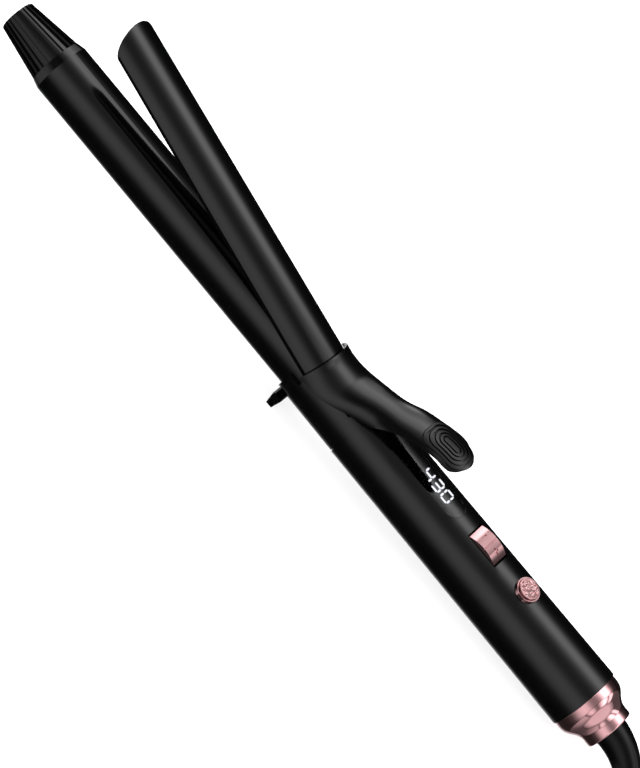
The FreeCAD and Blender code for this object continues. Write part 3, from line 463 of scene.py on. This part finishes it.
# The cap's outside, lip and mouth: distance along the iron and radius, from the grip rearward.
CAP_PROFILE = [
    (0.1751, 0.01300),
    (0.1751, 0.01515),
    (0.17525, 0.0153),
    (0.1768, 0.0153),
    (0.1784, 0.0153),
    (0.1802, 0.01495),
    (0.1819, 0.0141),
    (0.1834, 0.01295),
    (0.1848, 0.01195),
    (0.1864, 0.0112),
    (0.1879, 0.01088),
    (0.1895, 0.01085),
    (0.1911, 0.01085),
    (0.1916, 0.01070),
    (0.1918, 0.01035),
    (0.1918, 0.0085),
    (0.19165, 0.0081),
    (0.1912, 0.0080),
    (0.1889, 0.0080),
]


def smooth_line(points, steps):
    """A line through all the points, rounded between them."""
    line = []
    count = len(points)
    for index in range(count - 1):
        before, start, end, after = (Vector(points[min(max(index + k, 0), count - 1)]) for k in (-1, 0, 1, 2))
        for step in range(steps):
            u = step / steps
            line.append(
                0.5
                * (
                    2 * start
                    + (end - before) * u
                    + (2 * before - 5 * start + 4 * end - after) * u**2
                    + (3 * start - before - 3 * end + after) * u**3
                )
            )
    line.append(Vector(points[-1]))
    return line


def turned_piece(name, profile, material, segments=160):
    """A smooth surface turned about the iron's axis from (along, radius) points."""
    rows = []
    bm = bmesh.new()
    for along, radius in profile:
        ring = []
        for step in range(segments):
            angle = 2 * math.pi * step / segments
            out = UP * math.cos(angle) + SIDE * math.sin(angle)
            ring.append(bm.verts.new(AXIS_POINT + ALONG * along + out * radius))
        rows.append(ring)
    for first, second in zip(rows, rows[1:]):
        for step in range(segments):
            following = (step + 1) % segments
            bm.faces.new((first[step], first[following], second[following], second[step]))
    bmesh.ops.recalc_face_normals(bm, faces=bm.faces)
    mesh = bpy.data.meshes.new(name)
    bm.to_mesh(mesh)
    bm.free()
    mesh.shade_smooth()
    mesh.materials.append(material)
    piece = bpy.data.objects.new(name, mesh)
    scene.collection.objects.link(piece)
    return piece


def wavy_plating():
    """Mirror-bright plating over a moulding that is a little uneven, so that its reflections wander."""
    material, tree, shader = new_material("cap_plating")
    cloud = noise(tree, 60.0)
    pinks = ((0.3, (0.80, 0.42, 0.44)), (0.7, (0.88, 0.50, 0.52)))
    tree.links.new(ramp(tree, cloud, pinks), shader.inputs["Base Color"])
    tree.links.new(spread(tree, cloud, 0.05, 0.09), shader.inputs["Roughness"])
    tree.links.new(bumped(tree, noise(tree, 70.0, 0.0), 1.0, 0.0007), shader.inputs["Normal"])
    shader.inputs["Metallic"].default_value = 1.0
    return material


cap = turned_piece("cap_skin", smooth_line(CAP_PROFILE, 4), wavy_plating())
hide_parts("end_cap")
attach(cap, "iron")

# ---------------------------------------------------------------- floor and light

FLOOR_HALF = 12.0

# Bright bands round the iron's length, as (degrees round, brightness), and how much each set shows along
# it, as (place, share) from -1 at the tip's end to 1 at the lead's. Broad soft strips light the barrel and
# grip, a second set the faces that look to the tip, and a third those that look to the lead.
BRIGHTEST = 3.0
BANDS = [
    (-180, 0.01), (-138, 0.02), (-125, 0.45), (-106, 0.50), (-92, 0.03), (-55, 0.02), (-35, 0.03),
    (-19, 0.08), (-9, 0.26), (1, 0.56), (11, 0.84), (25, 1.00), (39, 0.86), (49, 0.52), (58, 0.32),
    (67, 0.26), (78, 0.32), (88, 0.60), (97, 1.30), (106, 2.50), (114, 2.90), (124, 2.20),
    (132, 0.95), (140, 0.28), (152, 0.05), (180, 0.01),
]
BANDS_SHOW = [(-1.0, 0.02), (-0.52, 0.05), (-0.36, 1.0), (0.38, 1.0), (0.46, 0.04), (1.0, 0.04)]
TIP_BANDS = [
    (-180, 2.6), (-135, 2.4), (-95, 0.2), (-55, 0.50), (-20, 0.80), (5, 0.70), (28, 0.12), (75, 0.06),
    (95, 0.6), (112, 2.4), (135, 3.0), (152, 1.5), (165, 1.2), (180, 2.6),
]
TIP_SHOWS = [(-1.0, 0.6), (-0.44, 1.0), (-0.32, 0.0), (1.0, 0.0)]
LEAD_BANDS = [
    (-180, 0.10), (-100, 0.06), (-60, 0.12), (-25, 0.40), (-2, 0.60), (8, 0.60), (15, 0.16), (24, 0.85),
    (35, 1.10), (47, 0.85), (58, 0.30), (70, 0.24), (80, 0.90), (98, 2.40), (110, 1.80), (119, 0.30),
    (127, 1.70), (138, 1.70), (147, 0.12), (180, 0.10),
]
LEAD_SHOWS = [(-1.0, 0.0), (0.40, 0.0), (0.46, 1.0), (0.78, 1.0), (0.90, 0.0), (1.0, 0.0)]
# Straight past the lead's end the bands would all meet at a point, so an even light takes over there.
FAR_END = [(-180, 0.85), (180, 0.85)]
FAR_END_SHOWS = [(-1.0, 0.0), (0.80, 0.0), (0.92, 1.0), (1.0, 1.0)]


def make_floor():
    """A pale table top."""
    mesh = bpy.data.meshes.new("floor")
    half = FLOOR_HALF
    corners = [(-half, -half, 0), (half, -half, 0), (half, half, 0), (-half, half, 0)]
    mesh.from_pydata(corners, [], [(0, 1, 2, 3)])
    floor = bpy.data.objects.new("floor", mesh)
    floor.location.z = -0.0001
    scene.collection.objects.link(floor)
    material, tree, shader = new_material("pale_table")
    tree.links.new(ramp(tree, noise(tree, 8.0), ((0.3, 0.93), (0.7, 0.95))), shader.inputs["Base Color"])
    shader.inputs["Roughness"].default_value = 0.9
    shader.inputs["Specular IOR Level"].default_value = 0.0
    mesh.materials.append(material)
    floor.visible_glossy = False
    return floor


def make_fill(floor):
    """An even overhead light for the table alone, which whitens it with no shadow."""
    data = bpy.data.lights.new("fill", "SUN")
    data.energy = 3.2
    data.angle = math.radians(60.0)
    data.use_shadow = False
    fill = bpy.data.objects.new("fill", data)
    fill.visible_glossy = False
    scene.collection.objects.link(fill)
    lit = bpy.data.collections.new("lit_by_fill")
    lit.objects.link(floor)
    fill.light_linking.receiver_collection = lit


def banded(tree, turn, along, bands, shows):
    """A set of bands round the iron, held to its own part of the iron's length."""
    ring = ramp(tree, turn, [((angle + 180.0) / 360.0, bright / BRIGHTEST) for angle, bright in bands])
    part = ramp(tree, along, [((place + 1.0) / 2.0, share) for place, share in shows])
    return blended(tree, ring, part, "MULTIPLY")


def make_surround():
    """A procedural surround of light bands that run parallel to the iron."""
    world = bpy.data.worlds.new("surround")
    scene.world = world
    world.use_nodes = True
    tree = world.node_tree
    tree.nodes.clear()
    out = tree.nodes.new("ShaderNodeOutputWorld")
    back = tree.nodes.new("ShaderNodeBackground")
    tree.links.new(back.outputs[0], out.inputs[0])
    way = node(tree, "ShaderNodeTexCoord").outputs["Generated"]
    parts = node(tree, "ShaderNodeSeparateXYZ", {"Vector": way})
    front = node(tree, "ShaderNodeMath", {0: parts.outputs["Y"], 1: -1.0}, operation="MULTIPLY").outputs[0]
    angle = node(tree, "ShaderNodeMath", {0: parts.outputs["Z"], 1: front}, operation="ARCTAN2").outputs[0]
    full_turn = {"Value": angle, "From Min": -math.pi, "From Max": math.pi, "To Min": 0.0, "To Max": 1.0}
    turn = node(tree, "ShaderNodeMapRange", full_turn).outputs["Result"]
    length = {"Value": parts.outputs["X"], "From Min": -1.0, "From Max": 1.0, "To Min": 0.0, "To Max": 1.0}
    along = node(tree, "ShaderNodeMapRange", length).outputs["Result"]
    shown = banded(tree, turn, along, BANDS, BANDS_SHOW)
    for bands, shows in ((TIP_BANDS, TIP_SHOWS), (LEAD_BANDS, LEAD_SHOWS), (FAR_END, FAR_END_SHOWS)):
        shown = blended(tree, shown, banded(tree, turn, along, bands, shows), "LIGHTEN")
    tree.links.new(shown, back.inputs["Color"])
    back.inputs["Strength"].default_value = BRIGHTEST


make_fill(make_floor())
make_surround()

bpy.context.view_layer.update()
